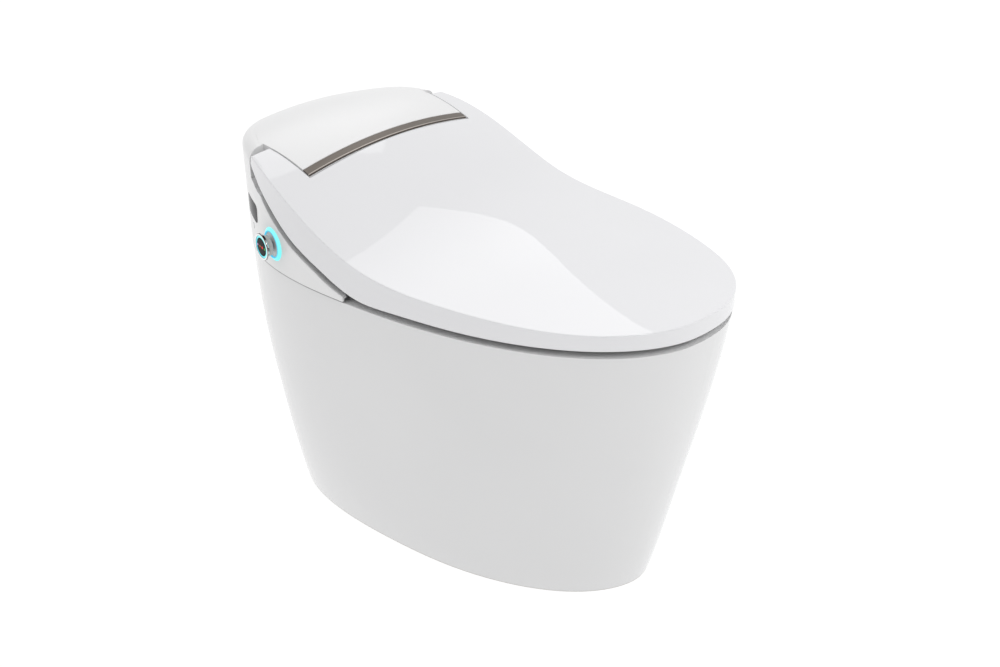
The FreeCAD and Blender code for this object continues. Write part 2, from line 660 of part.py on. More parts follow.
BUMPER_R = 7.0
LID_BUMPERS = [(118.0, -262.0), (165.0, -70.0)]
SEAT_BUMPERS = [(128.0, -262.0), (158.0, -60.0)]
SEAT_Z = RIM_Z + SEAT_UNDER
SEAT_TOP = SEAT_Z + SEAT_THICK
SEAT_MID = SEAT_Z + SEAT_SHELL


def four(places, make):
    solids = []
    for x, y in places:
        solids.append(make(x, y))
        solids.append(make(-x, y))
    return Part.makeCompound(solids)


def make_lid_bumpers():
    under = under_top(LID_SKIN + LID_PANEL)

    def one(x, y):
        return Part.makeCylinder(BUMPER_R, 120, V(x, y, SEAT_TOP + 0.2)).common(under)

    return four(LID_BUMPERS, one)


def make_seat_bumpers():
    def one(x, y):
        pad = Part.makeCylinder(BUMPER_R, SEAT_UNDER, V(x, y, RIM_Z))
        return pad.makeChamfer(0.8, [e for e in pad.Edges if e.BoundBox.ZMax < RIM_Z + 0.1])

    return four(SEAT_BUMPERS, one)


# ---- seat -------------------------------------------------------------------------
SEAT_Y = -(SEAT_HOLE_FRONT + SEAT_HOLE_REAR) / 2
SEAT_REACH = (SEAT_HOLE_FRONT - SEAT_HOLE_REAR) / 2
HEATER_IN = 16.0
HEATER_T = 0.8


def seat_ring(low, high, outer, inner):
    ring = egg_prism(SEAT_INSET + outer, low, high)
    ring = ring.common(box(-300, -500, low, 300, SEAT_BACK - outer, high))
    hole = Part.Face(oval(SEAT_HOLE_HALF + inner, SEAT_REACH + inner, SEAT_Y, low - 1))
    return ring.cut(hole.extrude(V(0, 0, high - low + 2)))


def make_seat_top():
    ring = seat_ring(SEAT_MID, SEAT_TOP, 0, 0)
    rims = [e for e in ring.Edges if e.BoundBox.ZMin > SEAT_TOP - 0.01]
    ring = ring.makeFillet(4.0, rims)
    return ring.cut(seat_ring(SEAT_MID - 1, SEAT_MID + HEATER_T, HEATER_IN, HEATER_IN))


def make_seat_heater():
    return seat_ring(SEAT_MID, SEAT_MID + HEATER_T - 0.1, HEATER_IN + 0.2, HEATER_IN + 0.2)


def make_seat_bottom():
    ring = seat_ring(SEAT_Z, SEAT_MID, 0, 0)
    rims = [e for e in ring.Edges if e.BoundBox.ZMax < SEAT_Z + 0.01]
    ring = ring.makeFillet(3.0, rims)
    root = SEAT_BACK - 26
    hy, hz = HINGE_Y, HINGE_Z
    side = [(root, SEAT_Z + 3.2), (SEAT_BACK + 2, SEAT_Z + 3.2), (60, RIM_Z + 40), (hy - 42, hz - 41),
            (hy - 9, hz - 12), (hy + 3, hz - 8), (hy + 3, hz + 7), (hy - 7, hz + 6.5),
            (hy - 50, hz - 26), (52, RIM_Z + 57), (SEAT_BACK + 9, SEAT_TOP + 2),
            (SEAT_BACK + 0.6, SEAT_MID), (root, SEAT_MID)]
    face = Part.Face(Part.makePolygon([V(ARM_IN, y, z) for y, z in side + side[:1]]))
    arm = face.extrude(V(ARM_WIDE, 0, 0))
    arm = arm.cut(box(0, HINGE_Y - 6, 0, 400, 400, HIGH + 60))
    arm = arm.fuse(rod_x(ARM_IN, ARM_IN + ARM_WIDE, HINGE_Y, HINGE_Z, ARM_HUB_R))
    seat = ring.fuse(arm).fuse(mirrored(arm))
    bore = rod_x(ARM_IN - 5, ARM_IN + ARM_WIDE + 0.5, HINGE_Y, HINGE_Z, PIN_R + PIN_CLEAR)
    return seat.cut(bore).cut(mirrored(bore))


# ---- hinge ------------------------------------------------------------------------
HINGE_PLATE_T = 4.6
HINGE_PLATE_X = COVER_HALF - WALL - 0.4 - HINGE_PLATE_T
DAMPER_R = 13.0
DAMPER_LONG = 42.0


def make_hinge_pins():
    pin = rod_x(PIN_START, PIN_END - 0.8, HINGE_Y, HINGE_Z, PIN_R)
    return Part.makeCompound([pin, mirrored(pin)])


def make_hinge_brackets():
    x0, x1 = HINGE_PLATE_X, HINGE_PLATE_X + HINGE_PLATE_T
    leg = box(x0, HINGE_Y - 13, PLATE_TOP, x1, HINGE_Y + 13, HINGE_Z)
    leg = leg.fuse(rod_x(x0, x1, HINGE_Y, HINGE_Z, 11.5))
    foot = box(x0 - 22, HINGE_Y - 13, PLATE_TOP, x1, HINGE_Y + 13, PLATE_TOP + 4)
    rib = box(x0 - 3, HINGE_Y - 13, PLATE_TOP, x0, HINGE_Y - 9, HINGE_Z - 25)
    one = leg.fuse(foot).fuse(rib)
    one = one.cut(rod_x(x0 - 5, x1 + 5, HINGE_Y, HINGE_Z, PIN_R))
    return Part.makeCompound([one, mirrored(one)])


def make_damper(side):
    x1 = HINGE_PLATE_X
    body = rod_x(x1 - DAMPER_LONG, x1, HINGE_Y, HINGE_Z, DAMPER_R)
    body = body.cut(rod_x(PIN_START, x1 + 1, HINGE_Y, HINGE_Z, PIN_R))
    return body if side > 0 else mirrored(body)


# ---- knob -------------------------------------------------------------------------
KNOB_SEAT = WALL + 1.6
CAP_BACK = KNOB_FACE - CAP_LONG
CAP_MID = CAP_BACK + CAP_FLOOR
DISPLAY_BACK = CAP_MID + 1.0


def disc(r, z0, z1):
    return Part.makeCylinder(r, z1 - z0, V(0, 0, z0))


def cone(r0, r1, z0, z1):
    return Part.makeCone(r0, r1, z1 - z0, V(0, 0, z0))


def ring(r_in, r_out, z0, z1):
    return disc(r_out, z0, z1).cut(disc(r_in, z0 - 1, z1 + 1))


def make_knob_base():
    base = disc(RING_IN - 0.1, -9, DISH_HIGH).fuse(disc(RING_R + 3, -9, -KNOB_SEAT))
    return knob_place(base.cut(disc(SHAFT_R + 0.05, -20, 10)))


def make_knob_lamp():
    band = disc(RING_R, -KNOB_SEAT, 0).fuse(cone(RING_R, RING_IN + 0.6, 0, RING_HIGH))
    return knob_place(band.cut(disc(RING_IN, -20, 20)))


def make_encoder():
    case = box(-11, -11, -27, 11, 11, -9)
    return knob_place(case.cut(disc(SHAFT_R + 0.05, -20.5 - KNOB_TRAVEL, 0)))


def make_knob_core():
    core = disc(SHAFT_R, -20, NECK_BACK)
    core = core.fuse(disc(CORE_R, DISH_HIGH + 0.2 + KNOB_TRAVEL, DISPLAY_BACK))
    core = core.fuse(disc(KNOB_R - CAP_LIP - 0.1, CAP_MID + 0.2, DISPLAY_BACK))
    return knob_place(core)


def make_knob_sleeve():
    grip = disc(KNOB_R, CAP_BACK, KNOB_FACE)
    rims = [e for e in grip.Edges if abs(e.Length - 2 * math.pi * KNOB_R) < 1]
    grip = grip.makeFillet(0.9, rims)
    grip = grip.fuse(disc(NECK_R, NECK_BACK, CAP_BACK + 0.1))
    grip = grip.cut(disc(KNOB_R - CAP_LIP, CAP_MID, KNOB_FACE + 1))
    grip = grip.cut(disc(CORE_R + KNOB_CLEAR, 0, KNOB_FACE))
    return knob_place(grip)


def make_knob_lens():
    return knob_place(disc(DISPLAY_R, DISPLAY_BACK, KNOB_FACE - 0.4))


def make_knob_halo():
    return knob_place(ring(DISPLAY_R + 0.1, KNOB_R - CAP_LIP - 0.1, DISPLAY_BACK, KNOB_FACE - 0.5))


# ---- nozzles ----------------------------------------------------------------------
NOZZLE_TIP = 22.0
CASSETTE_HALF = 12.5
CASSETTE_LONG = 140.0
MOTOR_LONG = 9.0
CASSETTE_X = (NOZZLE_X[0] - 12.0, NOZZLE_X[1] + 12.0)


def tilt(shape):
    out = shape.copy()
    out.rotate(V(0, NOZZLE_MOUTH_Y, NOZZLE_MOUTH_Z), V(1, 0, 0), NOZZLE_TILT)
    return out


def rod_y(x, y0, y1, r):
    return Part.makeCylinder(r, y1 - y0, V(x, y0, NOZZLE_MOUTH_Z), V(0, 1, 0))


def make_cassette():
    y, z = NOZZLE_MOUTH_Y, NOZZLE_MOUTH_Z
    case = box(CASSETTE_X[0], y, z - CASSETTE_HALF, CASSETTE_X[1], y + CASSETTE_LONG, z + CASSETTE_HALF)
    case = case.makeFillet(3.0, [e for e in case.Edges if abs(e.Length - CASSETTE_LONG) < 0.01])
    case = tilt(case)
    foot = box(CASSETTE_X[0] + 3, NOTCH_BACK + 2, PLATE_TOP, CASSETTE_X[1] - 3, NOTCH_BACK + 18, PLATE_TOP + 22)
    case = case.fuse(foot)
    for x in NOZZLE_X:
        case = case.cut(tilt(rod_y(x, y - 1, y + CASSETTE_LONG - 4, NOZZLE_R + 0.08)))
    return case


def make_nozzle_tube(x):
    y = NOZZLE_MOUTH_Y
    tube = rod_y(x, y + NOZZLE_TIP, y + NOZZLE_LONG, NOZZLE_R)
    tube = tube.cut(rod_y(x, y + NOZZLE_TIP - 1, y + NOZZLE_LONG - 6, 2.2))
    return tilt(tube)


def make_nozzle_tip(x, jets):
    y = NOZZLE_MOUTH_Y
    tip = rod_y(x, y + 1, y + NOZZLE_TIP, NOZZLE_R)
    tip = tip.makeFillet(4.0, [e for e in tip.Edges if e.BoundBox.YMax < y + 1.1])
    tip = tip.cut(rod_y(x, y + 9, y + NOZZLE_TIP + 1, 2.2))
    for dx, dy in jets:
        tip = tip.cut(Part.makeCylinder(0.6, 12, V(x + dx, y + dy, NOZZLE_MOUTH_Z)))
    return tilt(tip)


def make_nozzle_motors():
    y = NOZZLE_MOUTH_Y + 78
    z = NOZZLE_MOUTH_Z
    left = rod_x(CASSETTE_X[0] - MOTOR_LONG, CASSETTE_X[0], y, z, 10)
    right = rod_x(CASSETTE_X[1], CASSETTE_X[1] + MOTOR_LONG, y, z, 10)
    return Part.makeCompound([tilt(left), tilt(right)])


# ---- dryer ------------------------------------------------------------------------
DUCT_Z = RIM_Z - 17.0
DUCT_T = 1.5
FAN_X = 88.0
FAN_Y = 112.0
FAN_Z = PLATE_TOP + 2.0
FAN_HIGH = 26.0
FAN_MOTOR_HIGH = 17.0
FLAP_PIN_R = 1.1


def make_duct():
    x0, x1 = DUCT_X - DUCT_HALF, DUCT_X + DUCT_HALF
    z0, z1 = DUCT_Z - DUCT_HIGH / 2, DUCT_Z + DUCT_HIGH / 2
    top = FAN_Z + FAN_HIGH - 3
    outer = box(x0, 0, z0, x1, 66, z1)
    outer = outer.fuse(box(x0, 40, z0, x1, 66, top))
    outer = outer.fuse(box(x0, 40, FAN_Z, x1, FAN_Y + 14, top))
    t = DUCT_T
    inner = box(x0 + t, -1, z0 + t, x1 - t, 66 - t, z1 - t)
    inner = inner.fuse(box(x0 + t, 40 + t, z0 + t, x1 - t, 66 - t, top - t))
    inner = inner.fuse(box(x0 + t, 40 + t, FAN_Z + t, x1 - t, FAN_Y + 14 - t, top - t))
    inner = inner.fuse(box(x1 - t - 1, FAN_Y - 8, FAN_Z + 4, x1 + 1, FAN_Y + 10, top - 4))
    ears = box(x0, -2.6, z1 - 3.4, x0 + t, 0, z1).fuse(box(x1 - t, -2.6, z1 - 3.4, x1, 0, z1))
    duct = outer.cut(inner).fuse(ears)
    return duct.cut(rod_x(x0 - 1, x1 + 1, -1.3, z1 - 1.7, FLAP_PIN_R + 0.05))


def make_flap():
    x0, x1 = DUCT_X - DUCT_HALF, DUCT_X + DUCT_HALF
    z0, z1 = DUCT_Z - DUCT_HIGH / 2, DUCT_Z + DUCT_HIGH / 2
    plate = box(x0 + DUCT_T + 0.3, -1.9, z0 + 0.6, x1 - DUCT_T - 0.3, -0.4, z1 - 1.7)
    return plate.fuse(rod_x(x0 + 0.2, x1 - 0.2, -1.3, z1 - 1.7, FLAP_PIN_R))


def make_fan_case():
    t = 2.0
    case = Part.makeCylinder(FAN_R, FAN_HIGH, V(FAN_X, FAN_Y, FAN_Z))
    neck = box(DUCT_X + DUCT_HALF, FAN_Y - 10, FAN_Z + 2, FAN_X, FAN_Y + 12, FAN_Z + FAN_HIGH - 5)
    case = case.fuse(neck)
    case = case.cut(Part.makeCylinder(FAN_R - t, FAN_HIGH - 2 * t, V(FAN_X, FAN_Y, FAN_Z + t)))
    case = case.cut(box(DUCT_X, FAN_Y - 8, FAN_Z + 4, FAN_X, FAN_Y + 10, FAN_Z + FAN_HIGH - 7))
    case = case.cut(Part.makeCylinder(14, t + 1, V(FAN_X, FAN_Y, FAN_Z - 1)))
    case = case.cut(Part.makeCylinder(3.0, 10, V(FAN_X, FAN_Y, FAN_Z + FAN_HIGH - 5)))
    for i in range(3):
        a = math.radians(30 + 120 * i)
        place = V(FAN_X + (FAN_R - 6) * math.cos(a), FAN_Y + (FAN_R - 6) * math.sin(a), PLATE_TOP)
        case = case.fuse(Part.makeCylinder(4, 2, place))
    return case


def make_impeller():
    hub = Part.makeCylinder(7, 17, V(FAN_X, FAN_Y, FAN_Z + 3.5))
    wheel = hub.fuse(Part.makeCylinder(FAN_R - 5, 1.6, V(FAN_X, FAN_Y, FAN_Z + 19)))
    for i in range(18):
        blade = box(FAN_X + FAN_R - 14, FAN_Y - 0.7, FAN_Z + 4, FAN_X + FAN_R - 5.4, FAN_Y + 0.7, FAN_Z + 19.5)
        blade.rotate(V(FAN_X, FAN_Y, 0), V(0, 0, 1), 20 * i)
        wheel = wheel.fuse(blade)
    return wheel.fuse(Part.makeCylinder(2.0, 24, V(FAN_X, FAN_Y, FAN_Z + 15)))


def make_fan_motor():
    z = FAN_Z + FAN_HIGH
    can = Part.makeCylinder(15, FAN_MOTOR_HIGH, V(FAN_X, FAN_Y, z))
    return can.cut(Part.makeCylinder(2.05, 14, V(FAN_X, FAN_Y, z - 0.1)))


# ---- water and power --------------------------------------------------------------
TANK_HALF = 92.0
TANK_Y0 = 112.0
TANK_Y1 = 230.0
TANK_DEEP = 150.0
PIPE_R = 9.0
PIPE_X = 74.0
INLET_R = 10.48
INLET_NECK_R = 12.0


def make_tank():
    outer = box(-TANK_HALF, TANK_Y0, PLATE_Z - TANK_DEEP, TANK_HALF, TANK_Y1, PLATE_Z)
    outer = outer.makeFillet(10, [e for e in outer.Edges if abs(e.Length - TANK_DEEP) < 0.01])
    inner = box(-TANK_HALF + 3, TANK_Y0 + 3, PLATE_Z - TANK_DEEP + 3, TANK_HALF - 3, TANK_Y1 - 3, PLATE_Z + 1)
    return outer.cut(inner)


def make_pump():
    z = PLATE_Z - TANK_DEEP
    body = Part.makeCylinder(26, 52, V(PIPE_X, TANK_Y0 + 34, z - 52))
    head = Part.makeCylinder(18, 30, V(PIPE_X, TANK_Y0 + 34, z - 82))
    spout = Part.makeCylinder(PIPE_R, 30, V(PIPE_X, TANK_Y0 + 10, z - 26), V(0, -1, 0))
    return body.fuse(head).fuse(spout)


def pipe_path():
    z = PLATE_Z - TANK_DEEP - 26
    return [V(PIPE_X, TANK_Y0 - 20, z), V(PIPE_X, 34, z), V(PIPE_X - 26, -76, z + 44)]


def make_flush_pipe():
    path = pipe_path()
    pipe = tube_along(path, PIPE_R - 1.5).cut(tube_along(path, PIPE_R - 3.5))
    pipe = pipe.common(box(-300, -500, 0, 300, TANK_Y0 - 20, 400))
    return biggest(pipe.cut(bowl(BOWL_WALL, OUTER_ROWS)))


def make_heater():
    case = box(-104, 176, PLATE_TOP, -30, 250, PLATE_TOP + 46)
    case = case.makeFillet(6, [e for e in case.Edges if abs(e.Length - 46) < 0.01])
    ports = rod_x(-112, -104, 196, PLATE_TOP + 30, 5).fuse(rod_x(-112, -104, 226, PLATE_TOP + 30, 5))
    return case.fuse(ports)


def make_control_box():
    case = box(10, 180, PLATE_TOP, 112, 252, PLATE_TOP + 34)
    return case.makeFillet(4, [e for e in case.Edges if abs(e.Length - 34) < 0.01])


def make_supply_box():
    case = box(-114, 100, PLATE_TOP, -54, 166, PLATE_TOP + 40)
    return case.makeFillet(4, [e for e in case.Edges if abs(e.Length - 40) < 0.01])


def make_valve():
    block = box(-30, 154, PLATE_TOP, 6, 240, PLATE_TOP + 24)
    coil = Part.makeCylinder(11, 26, V(-12, 176, PLATE_TOP + 24))
    coil2 = Part.makeCylinder(11, 26, V(-12, 212, PLATE_TOP + 24))
    return block.fuse(coil).fuse(coil2)


INLET_X = -58.0
GLAND_X = 54.0
REAR_PORT_Z = PLATE_TOP + 22.0
PORT_OUT = 14.0
GLAND_R = 9.0
CORD_HOLE_R = 3.6


def rod_back(x, z, r, y0, y1):
    return Part.makeCylinder(r, y1 - y0, V(x, y0, z), V(0, 1, 0))


def make_inlet():
    y = UNIT_BACK_Y
    stem = rod_back(INLET_X, REAR_PORT_Z, INLET_R, y, y + PORT_OUT)
    stem = stem.fuse(rod_back(INLET_X, REAR_PORT_Z, INLET_NECK_R, y - 12, y))
    flange = rod_back(INLET_X, REAR_PORT_Z, INLET_R + 4.5, y - WALL - 4, y - WALL)
    stem = stem.fuse(flange).fuse(rod_back(INLET_X, REAR_PORT_Z, 7, y - 33, y - 12))
    return stem.cut(rod_back(INLET_X, REAR_PORT_Z, 5.5, y - 34, y + PORT_OUT + 1))


def make_gland():
    y = UNIT_BACK_Y
    body = rod_back(GLAND_X, REAR_PORT_Z, GLAND_R, y - 10, y + PORT_OUT - 2)
    collar = rod_back(GLAND_X, REAR_PORT_Z, GLAND_R + 4, y - WALL - 3, y - WALL)
    nut = rod_back(GLAND_X, REAR_PORT_Z, GLAND_R + 3, y, y + 4)
    body = body.fuse(collar).fuse(nut)
    return body.cut(rod_back(GLAND_X, REAR_PORT_Z, CORD_HOLE_R, y - 11, y + PORT_OUT))


def make_window():
    return side_inlay(WINDOW_Y, WINDOW_Z, WINDOW_LONG, WINDOW_HIGH, WINDOW_R, WINDOW_TILT, WINDOW_T)


def make_status_light():
    return side_inlay(SLOT_MARK_Y, SLOT_MARK_Z, SLOT_MARK_WIDE, SLOT_MARK_HIGH, 1.1, 0, WINDOW_T)


def biggest(shape):
    return sorted(shape.Solids, key=lambda s: s.Volume)[-1]


save("ceramic_pan", biggest(make_pan()))
save("outlet_seal", make_seal())
save("floor_brackets", make_brackets())
save("bracket_screws", make_bracket_screws())
save("unit_gasket", make_gasket())
save("base_plate", make_base_plate())
save("unit_screws", make_unit_screws())
save("rear_housing", make_housing())
save("top_cover", make_cover())
save("trim_strip", make_strip())
save("wash_unit_front", make_block())
save("sensor_window", make_window())
save("status_light", make_status_light())
save("lid_shell", make_lid_shell())
save("lid_panel", make_lid_panel())
save("lid_bumpers", make_lid_bumpers())
save("seat_top", make_seat_top())
save("seat_bottom", make_seat_bottom())
save("seat_heater", make_seat_heater())
save("seat_bumpers", make_seat_bumpers())
save("hinge_pins", make_hinge_pins())
save("hinge_brackets", make_hinge_brackets())
save("seat_damper", make_damper(1))
save("lid_damper", make_damper(-1))
save("knob_base", make_knob_base())
save("knob_lamp", make_knob_lamp())
save("knob_encoder", make_encoder())
save("knob_core", make_knob_core())
save("knob_sleeve", make_knob_sleeve())
save("knob_lens", make_knob_lens())
save("knob_halo", make_knob_halo())
save("nozzle_cassette", make_cassette())
save("rear_nozzle_tube", make_nozzle_tube(NOZZLE_X[0]))
save("rear_nozzle_tip", make_nozzle_tip(NOZZLE_X[0], [(0, 6), (-2, 9), (2, 9)]))
save("front_nozzle_tube", make_nozzle_tube(NOZZLE_X[1]))
save("front_nozzle_tip", make_nozzle_tip(NOZZLE_X[1], [(-2, 6), (2, 6), (-3, 9), (0, 9), (3, 9)]))
save("nozzle_motors", make_nozzle_motors())
save("dryer_duct", make_duct())
save("dryer_flap", make_flap())
save("fan_case", make_fan_case())
save("fan_impeller", make_impeller())
save("fan_motor", make_fan_motor())
save("flush_tank", make_tank())
save("flush_pump", make_pump())
save("flush_pipe", make_flush_pipe())
save("water_heater", make_heater())
save("inlet_valve", make_valve())
save("control_box", make_control_box())
save("supply_box", make_supply_box())
save("water_inlet", make_inlet())
save("cord_gland", make_gland())
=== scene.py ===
import math

import bpy
from mathutils import Matrix, Vector


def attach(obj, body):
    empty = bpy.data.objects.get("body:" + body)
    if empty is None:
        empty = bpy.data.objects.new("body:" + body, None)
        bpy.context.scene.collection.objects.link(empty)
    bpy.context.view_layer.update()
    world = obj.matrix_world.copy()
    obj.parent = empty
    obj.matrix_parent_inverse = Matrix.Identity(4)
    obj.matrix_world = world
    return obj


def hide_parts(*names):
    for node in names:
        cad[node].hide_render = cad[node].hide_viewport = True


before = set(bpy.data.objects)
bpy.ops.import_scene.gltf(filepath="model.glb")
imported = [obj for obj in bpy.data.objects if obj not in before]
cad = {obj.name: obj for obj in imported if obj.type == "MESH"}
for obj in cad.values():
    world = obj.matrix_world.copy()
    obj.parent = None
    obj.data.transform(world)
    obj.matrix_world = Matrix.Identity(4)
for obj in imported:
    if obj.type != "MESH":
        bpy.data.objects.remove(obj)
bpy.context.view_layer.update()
bpy.ops.object.select_all(action="DESELECT")


# ---- studio ---------------------------------------------------------------------
# A pale seamless floor in a white room, seen from the knob's side and from above.
# The room is greyer behind the camera, so the faces turned that way are softly darker.
camera_place = Vector((-1.03734, -0.88385, 0.98095))
looked_at = Vector((0.0, -0.06708, 0.27904))
turn = (looked_at - camera_place).to_track_quat("-Z", "Y").to_euler()
bpy.ops.object.camera_add(location=camera_place, rotation=turn)
camera = bpy.context.object
camera.name = "photo_camera"
camera.data.lens = 41.352
camera.data.sensor_width = 36.0
camera.data.clip_end = 40.0
bpy.context.scene.camera = camera
bpy.context.scene.view_settings.view_transform = "Standard"


class Wire:
    """A number that runs through a finish's nodes; sums and products of it add Math nodes."""

    def __init__(self, finish, socket):
        self.finish = finish
        self.socket = socket

    def maths(self, operation, *others):
        values = dict(enumerate((self,) + others))
        return self.finish.node("ShaderNodeMath", {"operation": operation}, values)

    def __add__(self, other):
        return self.maths("ADD", other)

    def __radd__(self, other):
        return self.maths("ADD", other)

    def __mul__(self, other):
        return self.maths("MULTIPLY", other)

    def __rmul__(self, other):
        return self.maths("MULTIPLY", other)

    def __sub__(self, other):
        return self.maths("SUBTRACT", other)

    def __rsub__(self, other):
        return (self * -1.0).maths("ADD", other)

    def __truediv__(self, other):
        return self.maths("DIVIDE", other)

    def __pow__(self, other):
        return self.maths("POWER", other)


class Finish:
    """One procedural finish, built node by node."""

    def __init__(self, name, tree=None):
        if tree is None:
            self.material = bpy.data.materials.new(name)
            self.material.use_nodes = True
            tree = self.material.node_tree
        self.tree = tree
        tree.nodes.clear()

    def node(self, kind, settings=None, values=None, output=0):
        made = self.tree.nodes.new(kind)
        for key, value in (settings or {}).items():
            if key == "stops":
                while len(made.color_ramp.elements) > 1:
                    made.color_ramp.elements.remove(made.color_ramp.elements[-1])
                made.color_ramp.elements[0].position = value[0][0]
                made.color_ramp.elements[0].color = value[0][1]
                for place, colour in value[1:]:
                    made.color_ramp.elements.new(place).color = colour
            else:
                setattr(made, key, value)
        for key, value in (values or {}).items():
            if isinstance(value, Wire):
                self.tree.links.new(value.socket, made.inputs[key])
            else:
                made.inputs[key].default_value = value
        return Wire(self, made.outputs[output])

    def place(self, centre=(0, 0, 0), turn=(0, 0, 0), size=(1, 1, 1)):
        raw = self.node("ShaderNodeTexCoord", output=3)
        shift = self.node("ShaderNodeVectorMath", {"operation": "SUBTRACT"}, {0: raw, 1: centre})
        values = {"Vector": shift, "Rotation": turn, "Scale": size}
        return self.node("ShaderNodeMapping", None, values)

    def axes(self, place):
        split = self.node("ShaderNodeSeparateXYZ", None, {0: place})
        outs = split.socket.node.outputs
        return [Wire(self, out) for out in outs]

    def noise(self, place, scale, detail=2.0, rough=0.5):
        values = {"Vector": place, "Scale": scale, "Detail": detail, "Roughness": rough}
        return self.node("ShaderNodeTexNoise", None, values)

    def ramp(self, value, low, high, to_low=0.0, to_high=1.0, smooth=True):
        kind = {"interpolation_type": "SMOOTHSTEP" if smooth else "LINEAR"}
        return self.node("ShaderNodeMapRange", kind, {0: value, 1: low, 2: high, 3: to_low, 4: to_high})

    def colour(self, mask, first, second):
        return self.node("ShaderNodeMix", {"data_type": "RGBA"}, {0: mask, 6: first, 7: second}, 2)

    def bump(self, height, distance, strength=1.0, under=None):
        values = {"Height": height, "Distance": distance, "Strength": strength}
        if under is not None:
            values["Normal"] = under
        return self.node("ShaderNodeBump", None, values)

    def rounded(self, radius):
        return self.node("ShaderNodeBevel", {"samples": 6}, {"Radius": radius})

    def shade(self, **sockets):
        values = {key.replace("_", " "): value for key, value in sockets.items()}
        shader = self.node("ShaderNodeBsdfPrincipled", None, values)
        out = self.tree.nodes.new("ShaderNodeOutputMaterial")
        self.tree.links.new(shader.socket, out.inputs[0])
        return self.material


def dress(piece, material):
    piece.data.materials.clear()
    piece.data.materials.append(material)


# A white sweep that glows a little itself, so nothing near the floor goes dark.
bpy.ops.mesh.primitive_plane_add(size=30.0, location=(0, 0, 0))
floor = bpy.context.object
floor.name = "studio_floor"
pale = Finish("pale_floor")
grain = pale.noise(pale.place(), 3.0)
dress(floor, pale.shade(
    Base_Color=pale.colour(grain, (0.11, 0.11, 0.11, 1), (0.12, 0.12, 0.12, 1)),
    Roughness=0.7,
    Emission_Color=pale.colour(grain, (0.98, 0.98, 0.98, 1), (1.0, 1.0, 1.0, 1)),
    Emission_Strength=0.94,
    Specular_IOR_Level=0.1,
))

room = bpy.data.worlds.new("white_room")
room.use_nodes = True
bpy.context.scene.world = room
air = Finish("air", room.node_tree)
towards = air.node("ShaderNodeTexCoord", output=0)
facing = air.node("ShaderNodeVectorMath", {"operation": "DOT_PRODUCT"},
                  {0: towards, 1: (-0.78, -0.50, -0.50)}, 1)
grey = air.ramp(facing, -0.05, 0.88)
light = air.colour(grey, (0.89, 0.89, 0.893, 1), (0.12, 0.12, 0.123, 1))
glow = air.node("ShaderNodeBackground", None, {0: light, 1: 1.0})
air.tree.links.new(glow.socket, air.tree.nodes.new("ShaderNodeOutputWorld").inputs[0])


def lamp(name, place, across, up, width, height, radiance):
    # a rectangular lamp whose sides run along 'across' and, nearly, 'up'; its power
    # is set from the brightness that its face shows
    bpy.ops.object.light_add(type="AREA", location=place)
    made = bpy.context.object
    made.name = name
    made.data.shape = "RECTANGLE"
    made.data.size = width
    made.data.size_y = height
    made.data.energy = radiance * math.pi * width * height
    side = Vector(across).normalized()
    back = side.cross(Vector(up)).normalized()
    made.rotation_euler = Matrix((side, back.cross(side), back)).transposed().to_euler()
    return made


# The large soft box whose one corner shows in the lid.  'sight' points at that corner;
# the box's sides are given for one metre away and scaled to its real distance.
lid_middle = Vector((0.0, -0.1, 0.42))
sight = Vector((0.6932, 0.1298, 0.7998))
along = Vector((0.0977, 0.3454, -0.2968)).normalized()
upward = Vector((-0.2444, 0.1089, 0.1174)).normalized()
distance = 8.0
middle = lid_middle + distance * (sight + 0.29 * along + 0.235 * upward)
lamp("lid_softbox", middle, along, upward, distance * 0.62, distance * 0.43, 1.02)

# A smaller, stronger one above the front draws the bright lines along the rounded edges.
lamp("edge_light", (-0.5, -1.6, 1.95), (0.95, -0.31, 0), (0.2, 0.66, 0.72), 0.6, 0.6, 6.6)

# ---- china pan --------------------------------------------------------------------
# Vitreous china, slip cast in one piece and glazed: deep gloss, faintly uneven.
# Inside the skirt and under the foot the body is left rough and unglazed.
glaze = Finish("glaze")
spot = glaze.place()
x, y, z = glaze.axes(spot)
peel = glaze.noise(spot, 220.0, 2.0)
wave = glaze.noise(spot, 9.0, 1.0)
speck = glaze.noise(spot, 900.0, 2.0, 0.7)
tone = glaze.ramp(glaze.noise(spot, 5.0, 3.0), 0.3, 0.7)
skirt_half = 0.1415 + z * 0.147
deep = (x / skirt_half) ** 2.0 + ((y + 0.02) / (skirt_half * 1.75)) ** 2.0
inside = glaze.ramp(deep, 0.90, 0.84) * glaze.ramp(z - y * 0.6, 0.150, 0.120)
foot = glaze.ramp(z, 0.0016, 0.0010)
bare = inside.maths("MAXIMUM", foot)
fired = glaze.colour(tone, (0.785, 0.785, 0.787, 1), (0.797, 0.797, 0.799, 1))
biscuit = glaze.colour(speck, (0.60, 0.58, 0.55, 1), (0.70, 0.685, 0.66, 1))
dress(cad["ceramic_pan"], glaze.shade(
    Base_Color=glaze.colour(bare, fired, biscuit),
    Roughness=glaze.ramp(bare, 0.0, 1.0, glaze.ramp(peel, 0.3, 0.7, 0.045, 0.065), 0.85),
    Normal=glaze.bump(wave, 0.0004, 0.2, glaze.bump(peel, 0.00002, 0.2)),
    IOR=1.52,
))

# ---- outlet seal ------------------------------------------------------------------
# Thick elastomer ring round the waste spigot, squeezed on the floor by the china.
# It has three moulded sealing ribs and a dull, slightly dusty surface.


